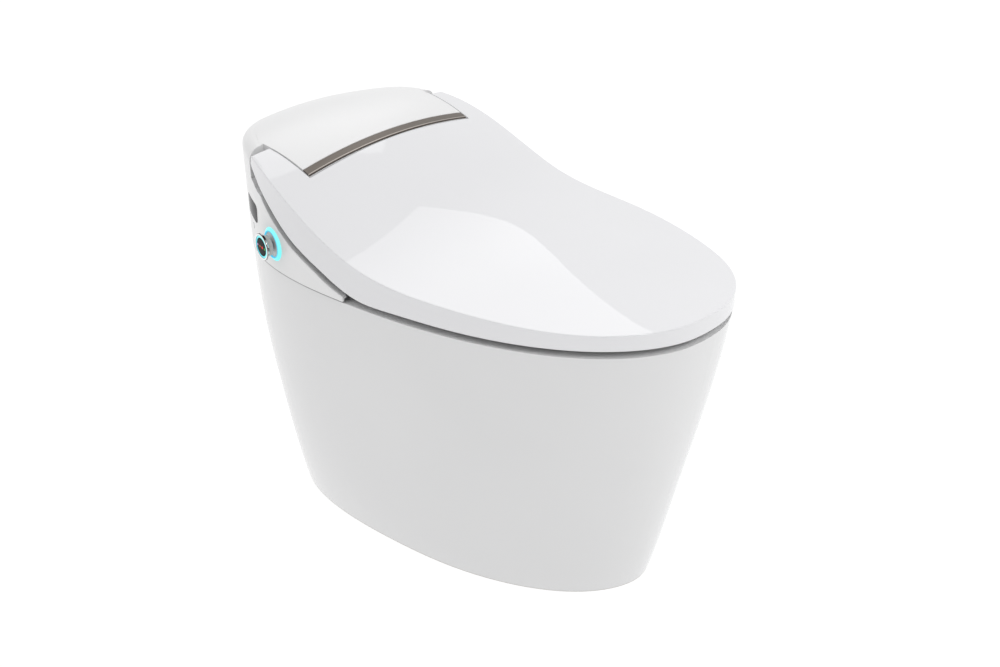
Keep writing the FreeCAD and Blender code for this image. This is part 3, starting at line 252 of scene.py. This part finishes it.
def rubber(name, dark, light, rib=None):
    finish = Finish(name)
    spot = finish.place()
    dust = finish.ramp(finish.noise(spot, 60.0, 4.0, 0.6), 0.35, 0.75)
    height = finish.noise(spot, 1500.0, 2.0)
    if rib:
        height = height * 0.05 + (finish.axes(spot)[2] * rib).maths("SINE")
    return finish.shade(
        Base_Color=finish.colour(dust, dark + (1,), light + (1,)),
        Roughness=finish.ramp(dust, 0.0, 1.0, 0.55, 0.8),
        Normal=finish.bump(height, 0.0005 if rib else 0.00006, 0.5),
    )


dress(cad["outlet_seal"], rubber("seal_rubber", (0.030, 0.030, 0.032), (0.060, 0.060, 0.062), 1050.0))

# ---- floor brackets and their screws -----------------------------------------------
# Pressed steel angles inside the skirt, bright zinc plated, with cross-recessed
# screws through the china's lugs.


def plated(name, tone, scratch, direction=(1, 1, 1), rough=(0.22, 0.38)):
    finish = Finish(name)
    spot = finish.place(size=direction)
    grain = finish.noise(spot, scratch, 4.0, 0.7)
    cloud = finish.ramp(finish.noise(finish.place(), 40.0, 3.0), 0.35, 0.65)
    dark = tuple(part * 0.86 for part in tone)
    return finish.shade(
        Base_Color=finish.colour(cloud, dark + (1,), tone + (1,)),
        Metallic=1.0,
        Roughness=finish.ramp(grain, 0.3, 0.7, *rough),
        Normal=finish.bump(grain, 0.00002, 0.5, finish.rounded(0.0003)),
    )


zinc = plated("zinc_plate", (0.62, 0.63, 0.64), 300.0)
for name in ("floor_brackets", "bracket_screws", "unit_screws", "hinge_brackets"):
    dress(cad[name], zinc)

# ---- gasket and base plate ----------------------------------------------------------
# A soft gasket levels the wash unit on the china; the unit's grey polypropylene
# base plate carries everything behind the seat.
dress(cad["unit_gasket"], rubber("gasket_rubber", (0.09, 0.09, 0.095), (0.13, 0.13, 0.135)))


def moulded(name, low, high, rough=(0.36, 0.46), texture=420.0, depth=0.00003, soft=0.0004):
    finish = Finish(name)
    spot = finish.place()
    grain = finish.noise(spot, texture, 3.0, 0.6)
    flow = finish.ramp(finish.noise(spot, 11.0, 2.0), 0.3, 0.7)
    return finish.shade(
        Base_Color=finish.colour(flow, low + (1,), high + (1,)),
        Roughness=finish.ramp(grain, 0.3, 0.7, *rough),
        Normal=finish.bump(grain, depth, 0.4, finish.rounded(soft)),
        IOR=1.48,
    )


dress(cad["base_plate"], moulded("base_grey", (0.40, 0.41, 0.42), (0.43, 0.44, 0.45)))

# ---- rear housing, top cover and the unit's front ------------------------------------
# White ABS mouldings.  The housing and its cover are finely matt, so that they carry no
# sharp reflections; the front of the unit, under the lid, is glossy.


def white_moulding(name, tint, rough=(0.06, 0.09), joint=None):
    # 'joint' is the height of a lower edge that lies in its own shadow; a thin dark band just above it is
    # painted shade for that shadow
    finish = Finish(name)
    spot = finish.place()
    peel = finish.noise(spot, 600.0, 2.0)
    flow = finish.ramp(finish.noise(spot, 7.0, 2.0), 0.3, 0.7)
    dark = tuple(part * 0.99 for part in tint)
    tone = finish.colour(flow, dark + (1,), tint + (1,))
    if joint:
        painted_joint_shade = finish.ramp(finish.axes(spot)[2], joint + 0.0014, joint + 0.0008)
        tone = finish.colour(painted_joint_shade, tone, (0.24, 0.24, 0.24, 1))
    return finish.shade(
        Base_Color=tone,
        Roughness=finish.ramp(peel, 0.3, 0.7, *rough),
        Normal=finish.bump(peel, 0.00001, 0.15),
        IOR=1.5,
    )


housing_bottom = 0.3808
white = white_moulding("housing_white", (0.865, 0.865, 0.865), (0.28, 0.34), housing_bottom)
for name in ("rear_housing", "top_cover"):
    dress(cad[name], white)
dress(cad["wash_unit_front"], white_moulding("unit_white", (0.85, 0.85, 0.852)))

# ---- trim strip ---------------------------------------------------------------------
# Anodised aluminium in a warm grey, finely brushed along its length. A bright line along its front edge
# marks a cut bevel, its brightness partly painted highlight; the front face below it is painted darker as
# painted shade.
band = Finish("trim_bronze")
spot = band.place(size=(3.0, 900.0, 900.0))
streak = band.noise(spot, 2.2, 5.0, 0.75)
broad = band.noise(band.place(size=(1.0, 60.0, 60.0)), 3.0, 2.0)
shade = band.ramp(streak * 0.7 + broad * 0.3, 0.3, 0.7)
back = band.axes(band.place(size=(1000, 1000, 1000)))[1]
cut_line = 110.5
# painted highlight: the lighter line along the cut bevel, partly the bare cut metal
cut_highlight = band.ramp((back - cut_line).maths("ABSOLUTE"), 0.65, 0.25)
# painted shade: the front face below the bevel is darker
painted_front_shade = band.ramp(back, cut_line - 0.6, cut_line - 0.9)
brushed = band.colour(shade, (0.140, 0.121, 0.106, 1), (0.190, 0.168, 0.149, 1))
brushed = band.colour(cut_highlight, brushed, (0.52, 0.48, 0.44, 1))
dress(cad["trim_strip"], band.shade(
    Base_Color=band.colour(painted_front_shade, brushed, (0.110, 0.092, 0.080, 1)),
    Metallic=0.75,
    Roughness=band.ramp(streak, 0.3, 0.7, 0.30, 0.42),
    Normal=band.bump(streak, 0.00001, 0.4, band.rounded(0.0003)),
    IOR=1.5,
))

# ---- sensor window ------------------------------------------------------------------
# Smoked acrylic let into the side, printed black round the edge, with the receiver's
# dark dome faintly visible behind the clearer middle; the clear part is painted lighter towards its lower
# rear, a painted reflection.
smoke = Finish("dark_window")
lean = (math.radians(-8), 0, 0)
x, y, z = smoke.axes(smoke.place((0, 0.199, 0.441), lean, (1000, 1000, 1000)))
wide = (y / 18.0).maths("ABSOLUTE") ** 6.0
high = (z / 11.8).maths("ABSOLUTE") ** 6.0
border = smoke.ramp(wide + high, 0.75, 1.05)
# painted reflection: the clear part lightens towards its lower rear
painted_sheen = smoke.ramp(y * 0.4 - z, -12.0, 14.0)
behind = smoke.ramp(((y + 3.0) ** 2.0 + z ** 2.0) ** 0.5, 3.0, 6.5)
clear = smoke.colour(painted_sheen, (0.038, 0.038, 0.040, 1), (0.085, 0.085, 0.088, 1))
clear = smoke.colour(behind, (0.045, 0.045, 0.050, 1), clear)
dress(cad["sensor_window"], smoke.shade(
    Base_Color=smoke.colour(border, clear, (0.006, 0.006, 0.006, 1)),
    Roughness=smoke.ramp(smoke.noise(smoke.place(), 500.0), 0.3, 0.7, 0.10, 0.14),
    IOR=1.10,
))

# ---- status light ------------------------------------------------------------------
# A narrow light pipe of frosted grey polycarbonate, unlit, with a darker rim where it
# is pressed into the wall.
pipe = Finish("status_grey")
x, y, z = pipe.axes(pipe.place(centre=(0, 0.1995, 0.417), size=(1000, 1000, 1000)))
rim = pipe.ramp((y / 1.0).maths("ABSOLUTE") ** 4.0 + (z / 4.2).maths("ABSOLUTE") ** 6.0, 0.5, 1.1)
frost = pipe.noise(pipe.place(), 1800.0, 2.0)
dress(cad["status_light"], pipe.shade(
    Base_Color=pipe.colour(rim, (0.24, 0.24, 0.245, 1), (0.12, 0.12, 0.125, 1)),
    Roughness=pipe.ramp(frost, 0.3, 0.7, 0.30, 0.45),
    Normal=pipe.bump(frost, 0.00002, 0.3),
))

# ---- lid ---------------------------------------------------------------------------
# High-gloss shell with an inner panel clipped under it; both white, the panel a touch
# duller.  Four soft pads keep it off the seat.
lid_white = white_moulding("lid_white", (0.848, 0.848, 0.862), (0.004, 0.008))
dress(cad["lid_shell"], lid_white)
dress(cad["lid_panel"], white_moulding("panel_white", (0.85, 0.85, 0.852), (0.14, 0.20)))
pad = rubber("bumper_white", (0.70, 0.70, 0.69), (0.76, 0.76, 0.75))
for name in ("lid_bumpers", "seat_bumpers"):
    dress(cad[name], pad)

# ---- seat --------------------------------------------------------------------------
# Upper and lower white shells welded round the rim, with the printed heater film
# bonded under the upper one.
seat_white = white_moulding("seat_white", (0.86, 0.86, 0.86))
for name in ("seat_top", "seat_bottom"):
    dress(cad[name], seat_white)
film = Finish("heater_film")
x, y, z = film.axes(film.place(centre=(0, -0.183, 0), size=(1000, 1000, 1000)))
track = (((x * 1.24) ** 2.0 + y ** 2.0) ** 0.5 * 0.8).maths("SINE")
dress(cad["seat_heater"], film.shade(
    Base_Color=film.colour(film.ramp(track, 0.1, 0.3), (0.62, 0.36, 0.13, 1), (0.50, 0.51, 0.52, 1)),
    Metallic=film.ramp(track, 0.1, 0.3, 0.0, 0.9),
    Roughness=0.35,
    Normal=film.bump(film.ramp(track, 0.1, 0.3), 0.0001, 0.5),
))

# ---- hinge: pins and dampers ----------------------------------------------------------
# Turned stainless pins carry the seat arms and the lid ears; a sealed viscous damper
# sits on each, with a moulded body and fine grip flutes.
dress(cad["hinge_pins"], plated("turned_steel", (0.66, 0.66, 0.67), 900.0, (1, 0.02, 0.02), (0.16, 0.26)))
damper = Finish("damper_grey")
x, y, z = damper.axes(damper.place(centre=(0, 0.160, 0.500)))
flute = (z.maths("ARCTAN2", y) * 36.0).maths("SINE")
fine = damper.noise(damper.place(), 500.0, 2.0)
# painted light and shade: the flutes' crests are coloured lighter and their grooves darker
damped = damper.shade(
    Base_Color=damper.colour(damper.ramp(flute, -0.6, 0.6),
                             (0.075, 0.078, 0.082, 1), (0.105, 0.108, 0.113, 1)),
    Roughness=damper.ramp(fine, 0.3, 0.7, 0.42, 0.55),
    Normal=damper.bump(flute, 0.0004, 0.6, damper.rounded(0.0006)),
)
for name in ("seat_damper", "lid_damper"):
    dress(cad[name], damped)

# ---- knob: seat and light ring ----------------------------------------------------------
# A shallow grey dish lies inside a raised light ring that glows cyan; its sloping
# outer face is brightest and its inner wall bluer.  The knob's axis stands square to
# the curved side wall.
knob_centre = (-0.1899529, 0.1388, 0.4153)
knob_yaw = math.radians(14.772567)
knob_frame = (Matrix.Translation(knob_centre) @ Matrix.Rotation(-knob_yaw, 4, "Z")
              @ Matrix.Rotation(math.radians(-90), 4, "Y"))
knob_turn = (Matrix.Rotation(math.radians(90), 4, "Y") @ Matrix.Rotation(knob_yaw, 4, "Z")).to_euler()


def knob_spot(finish):
    # up, rearwards and outwards from the knob's centre on the wall, in millimetres
    return finish.place(knob_centre, tuple(knob_turn), (1000, 1000, 1000))


def turned(name, profile, place, capped=False, steps=128):
    """Spins a profile of (radius, height) pairs in millimetres about a line."""
    first = profile[0]
    bpy.ops.mesh.primitive_circle_add(vertices=steps, radius=first[0], location=(0, 0, first[1]),
                                      fill_type="NGON" if capped else "NOTHING")
    made = bpy.context.object
    made.name = name
    bpy.ops.object.mode_set(mode="EDIT")
    bpy.ops.mesh.select_all(action="SELECT")
    for before, after in zip(profile, profile[1:]):
        rise = (0, 0, after[1] - before[1])
        bpy.ops.mesh.extrude_region_move(TRANSFORM_OT_translate={"value": rise})
        share = after[0] / before[0]
        bpy.ops.transform.resize(value=(share, share, 1))
    bpy.ops.mesh.select_all(action="SELECT")
    if not capped:
        bpy.ops.mesh.remove_doubles(threshold=0.001)
    bpy.ops.mesh.normals_make_consistent(inside=False)
    bpy.ops.object.mode_set(mode="OBJECT")
    made.matrix_world = place @ Matrix.Scale(0.001, 4) @ Matrix.Translation((0, 0, first[1]))
    bpy.ops.object.transform_apply(location=True, rotation=True, scale=True)
    bpy.ops.object.shade_smooth_by_angle(angle=math.radians(28))
    return made


dish = Finish("knob_seat")
x, y, z = dish.axes(knob_spot(dish))
away = (x ** 2.0 + y ** 2.0) ** 0.5
# painted light: the dish is coloured lighter towards its middle, under the cap's shadow
lit = dish.ramp(away, 12.0, 16.3)
fine = dish.noise(dish.place(), 900.0, 2.0)
dress(cad["knob_base"], dish.shade(
    Base_Color=dish.colour(lit, (0.90, 0.87, 0.84, 1), (0.74, 0.71, 0.68, 1)),
    Roughness=dish.ramp(fine, 0.3, 0.7, 0.28, 0.36),
    Normal=dish.bump(fine, 0.00001, 0.3),
))

ring_light = Finish("cyan_light")
x, y, z = ring_light.axes(knob_spot(ring_light))
away = (x ** 2.0 + y ** 2.0) ** 0.5
wall = ring_light.ramp(away, 17.3, 18.1)
low = ring_light.ramp(x, -20.0, 20.0)
outer_glow = ring_light.colour(low, (0.20, 0.96, 1.0, 1), (0.27, 1.0, 1.0, 1))
milk = ring_light.noise(ring_light.place(), 700.0, 2.0)
ring_finish = ring_light.shade(
    Base_Color=(0.02, 0.05, 0.05, 1),
    Roughness=ring_light.ramp(milk, 0.3, 0.7, 0.30, 0.40),
    Emission_Color=ring_light.colour(wall, (0.07, 0.58, 0.88, 1), outer_glow),
    Emission_Strength=0.98,
    Specular_IOR_Level=0.2,
)
ring = turned("knob_light_ring", [
    (21.3, -4.6), (21.3, -0.2), (21.1, 0.15), (17.6, 2.75), (17.2, 2.98), (16.8, 2.98), (16.45, 2.7),
    (16.4, 2.3), (16.4, -4.6), (21.3, -4.6)], knob_frame)
dress(ring, ring_finish)
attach(ring, "pan")
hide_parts("knob_lamp")

# ---- knob: encoder -------------------------------------------------------------------
# The rotary switch behind the wall: a black glass-filled case with a rough grain.
dress(cad["knob_encoder"], moulded("encoder_black", (0.020, 0.020, 0.021), (0.030, 0.030, 0.031),
                                   (0.4, 0.55), 700.0))

# ---- knob: turning cap and neck ---------------------------------------------------------
# The cap is polished chrome with a fine groove behind its rolled front lip; the satin grey neck runs back
# to the dish.
# Painted reflections darken its side (a black wedge and cloudy streaks), a painted dark line runs round
# the lip and the halo's edge, and the neck carries a painted shadow near the cap.
chrome = Finish("knob_chrome")
x, y, z = chrome.axes(knob_spot(chrome))
away = (x ** 2.0 + y ** 2.0) ** 0.5
bearing = y.maths("ARCTAN2", x)
round_about = {0: bearing.maths("SINE") * 1.3, 1: bearing.maths("COSINE") * 1.3}
smear = chrome.node("ShaderNodeCombineXYZ", None, round_about)
cloud = chrome.noise(smear, 1.7, 1.0)
side = chrome.ramp(away, 16.1, 16.8) * chrome.ramp(z, 15.9, 15.2)
# painted reflection: a black wedge on one part of the side band
dark = chrome.ramp((bearing + 0.50).maths("ABSOLUTE"), 0.42, 0.12) * side
# painted reflection: cloudy dark streaks over the side band
painted_streaks = chrome.ramp(cloud, 0.50, 0.62) * side
neck = chrome.ramp(away, 13.3, 13.1) * chrome.ramp(z, 12.9, 12.7)
mirror = chrome.colour(painted_streaks, (0.84, 0.84, 0.85, 1), (0.20, 0.20, 0.205, 1))
# painted shade: a dark line round the front lip and along the inner edge by the halo
painted_lip_shade = chrome.ramp(away, 16.55, 16.8) * chrome.ramp(z, 14.8, 15.1) + chrome.ramp(away, 14.6, 14.4)
mirror = chrome.colour(painted_lip_shade, mirror, (0.12, 0.10, 0.095, 1))
mirror = chrome.colour(dark, mirror, (0.015, 0.015, 0.016, 1))
shadow = chrome.ramp(z, 12.8, 9.0)
satin = chrome.colour(shadow, (0.27, 0.255, 0.24, 1), (0.54, 0.51, 0.48, 1))
cap_finish = chrome.shade(
    Base_Color=chrome.colour(neck, mirror, satin),
    Metallic=chrome.ramp(neck, 0.0, 1.0, 1.0, 0.1),
    Roughness=chrome.ramp(neck, 0.0, 1.0, 0.07, 0.34),
)
cap = turned("knob_cap", [
    (8.0, 12.8), (8.0, 5.6), (12.4, 5.6), (12.85, 5.8), (13.0, 6.3), (13.0, 12.5), (13.2, 12.8),
    (16.4, 12.8), (16.85, 12.95), (17.1, 13.4), (17.1, 13.7), (16.85, 13.85), (16.85, 14.0),
    (17.1, 14.15), (17.1, 15.2), (16.95, 15.65), (16.6, 15.92), (15.9, 16.0), (15.1, 15.93),
    (14.6, 15.7), (14.4, 15.4), (14.4, 13.4), (8.0, 13.4), (8.0, 12.8)], knob_frame)
dress(cap, cap_finish)
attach(cap, "knob_dial")
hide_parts("knob_sleeve")

# ---- knob: pressing core -----------------------------------------------------------------
# A grey acetal plunger with a flat head under the display.
dress(cad["knob_core"], moulded("core_grey", (0.20, 0.20, 0.205), (0.24, 0.24, 0.245), (0.3, 0.4)))

# ---- knob: display and its halo -----------------------------------------------------------
# A slightly domed dark lens over a dot display: a black printed rim, four coloured
# signals across the middle, and a thin cyan halo round it.
lens = Finish("display_black")
x, y, z = lens.axes(knob_spot(lens))
away = (x ** 2.0 + y ** 2.0) ** 0.5
grid = (x * 4.4).maths("SINE") * (y * 4.4).maths("SINE")
inner = lens.colour(lens.ramp(grid, 0.0, 0.6), (0.018, 0.019, 0.021, 1), (0.040, 0.041, 0.045, 1))
face = lens.colour(lens.ramp(away, 9.4, 10.2), inner, (0.004, 0.003, 0.003, 1))
signal = (0.0, 0.0, 0.0, 1)
for across, up, colour, size in (
        (9.6, 0.6, (0.62, 0.30, 0.66, 1), 1.5), (3.4, 0.2, (0.50, 0.17, 0.01, 1), 1.5),
        (-2.4, -0.2, (1.0, 0.035, 0.02, 1), 1.7), (-8.4, -0.4, (0.10, 0.42, 0.06, 1), 1.5)):
    far = ((y - across) ** 2.0 + (x - up) ** 2.0) ** 0.5
    signal = lens.colour(lens.ramp(far, size + 0.45, size - 0.45), signal, colour)
display = turned("knob_display", [
    (11.8, 14.2), (11.8, 15.25), (11.55, 15.42), (9.0, 15.52), (6.0, 15.57), (3.0, 15.595), (0.6, 15.6)],
    knob_frame, True)
dress(display, lens.shade(
    Base_Color=face,
    Roughness=0.12,
    Emission_Color=signal,
    Emission_Strength=0.9,
    IOR=1.10,
))
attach(display, "knob_push")
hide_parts("knob_lens")

halo_light = Finish("halo_light")
x, y, z = halo_light.axes(knob_spot(halo_light))
low = halo_light.ramp(y - x * 0.6, -14.0, 14.0)
halo_finish = halo_light.shade(
    Base_Color=(0.02, 0.04, 0.04, 1),
    Roughness=0.3,
    Emission_Color=halo_light.colour(low, (0.30, 1.0, 1.0, 1), (0.09, 0.68, 0.78, 1)),
    Emission_Strength=0.95,
    Specular_IOR_Level=0.2,
)
halo = turned("knob_halo_ring", [
    (11.9, 14.2), (11.9, 15.3), (12.1, 15.48), (14.0, 15.48), (14.25, 15.3), (14.3, 14.2),
    (11.9, 14.2)], knob_frame)
dress(halo, halo_finish)
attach(halo, "knob_push")
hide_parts("knob_halo")

# ---- nozzles -----------------------------------------------------------------------
# Two polished stainless wands with white jet tips slide out of a grey twin guide;
# a small geared motor drives each.
dress(cad["nozzle_cassette"], moulded("guide_grey", (0.44, 0.45, 0.46), (0.48, 0.49, 0.50)))
wand = plated("wand_steel", (0.70, 0.70, 0.71), 700.0, (1, 0.05, 1), (0.10, 0.18))
for name in ("rear_nozzle_tube", "front_nozzle_tube"):
    dress(cad[name], wand)
tip = white_moulding("nozzle_white", (0.84, 0.84, 0.845), (0.15, 0.22))
for name in ("rear_nozzle_tip", "front_nozzle_tip"):
    dress(cad[name], tip)
can = plated("motor_can", (0.52, 0.52, 0.54), 400.0, (1, 1, 0.05), (0.26, 0.38))
for name in ("nozzle_motors", "fan_motor", "flush_pump"):
    dress(cad[name], can)

# ---- dryer: duct, flap and fan ------------------------------------------------------------
# Grey glass-filled mouldings; the wheel is lighter, with eighteen straight blades.
duct = moulded("duct_grey", (0.36, 0.37, 0.38), (0.40, 0.41, 0.42), (0.45, 0.6), 300.0, 0.00006)
for name in ("dryer_duct", "fan_case"):
    dress(cad[name], duct)
dress(cad["dryer_flap"], moulded("flap_grey", (0.46, 0.47, 0.48), (0.50, 0.51, 0.52)))
dress(cad["fan_impeller"], moulded("wheel_grey", (0.52, 0.53, 0.54), (0.58, 0.59, 0.60)))

# ---- flush water: tank, pump and pipe --------------------------------------------------------
# Translucent-looking polypropylene tank hung under the plate; the pump below pushes
# its water through a black rubber pipe to the bowl's jet.
dress(cad["flush_tank"], moulded("tank_milk", (0.66, 0.67, 0.665), (0.72, 0.73, 0.725),
                                 (0.4, 0.5), 260.0, 0.00006))
dress(cad["flush_pipe"], rubber("pipe_rubber", (0.018, 0.018, 0.019), (0.034, 0.034, 0.035)))

# ---- warm water: heater and valve -------------------------------------------------------------
# Flat instant heater in a pale flame-proof case, and the inlet valve with two coils.
pale_case = moulded("valve_white", (0.66, 0.66, 0.64), (0.72, 0.72, 0.70), (0.4, 0.5), 300.0)
for name in ("water_heater", "inlet_valve"):
    dress(cad[name], pale_case)

# ---- electronics boxes ---------------------------------------------------------------------
# Potted control electronics in a grey case, and the mains supply in a black one.
dress(cad["control_box"], moulded("control_grey", (0.30, 0.31, 0.32), (0.34, 0.35, 0.36)))
dress(cad["supply_box"], moulded("supply_black", (0.020, 0.020, 0.021), (0.032, 0.032, 0.033)))

# ---- rear ports -----------------------------------------------------------------------------
# Brass inlet with a rolled thread, nickel washed, and the rubber gland of the cord.
thread = Finish("inlet_brass")
spot = thread.place()
x, y, z = thread.axes(spot)
pitch = 1.814
around = (z - 0.4062).maths("ARCTAN2", x + 0.058)
turns = ((y * 1000.0 / pitch) * 6.2832 + around).maths("SINE")
threaded = thread.ramp(y, 0.2845, 0.2855)
stain = thread.noise(spot, 120.0, 3.0)
dress(cad["water_inlet"], thread.shade(
    Base_Color=thread.colour(stain, (0.56, 0.41, 0.20, 1), (0.68, 0.53, 0.28, 1)),
    Metallic=1.0,
    Roughness=thread.ramp(stain, 0.3, 0.7, 0.20, 0.34),
    Normal=thread.bump(turns * threaded, 0.0005, 0.8, thread.rounded(0.0004)),
))
dress(cad["cord_gland"], rubber("gland_rubber", (0.022, 0.022, 0.023), (0.040, 0.040, 0.041)))
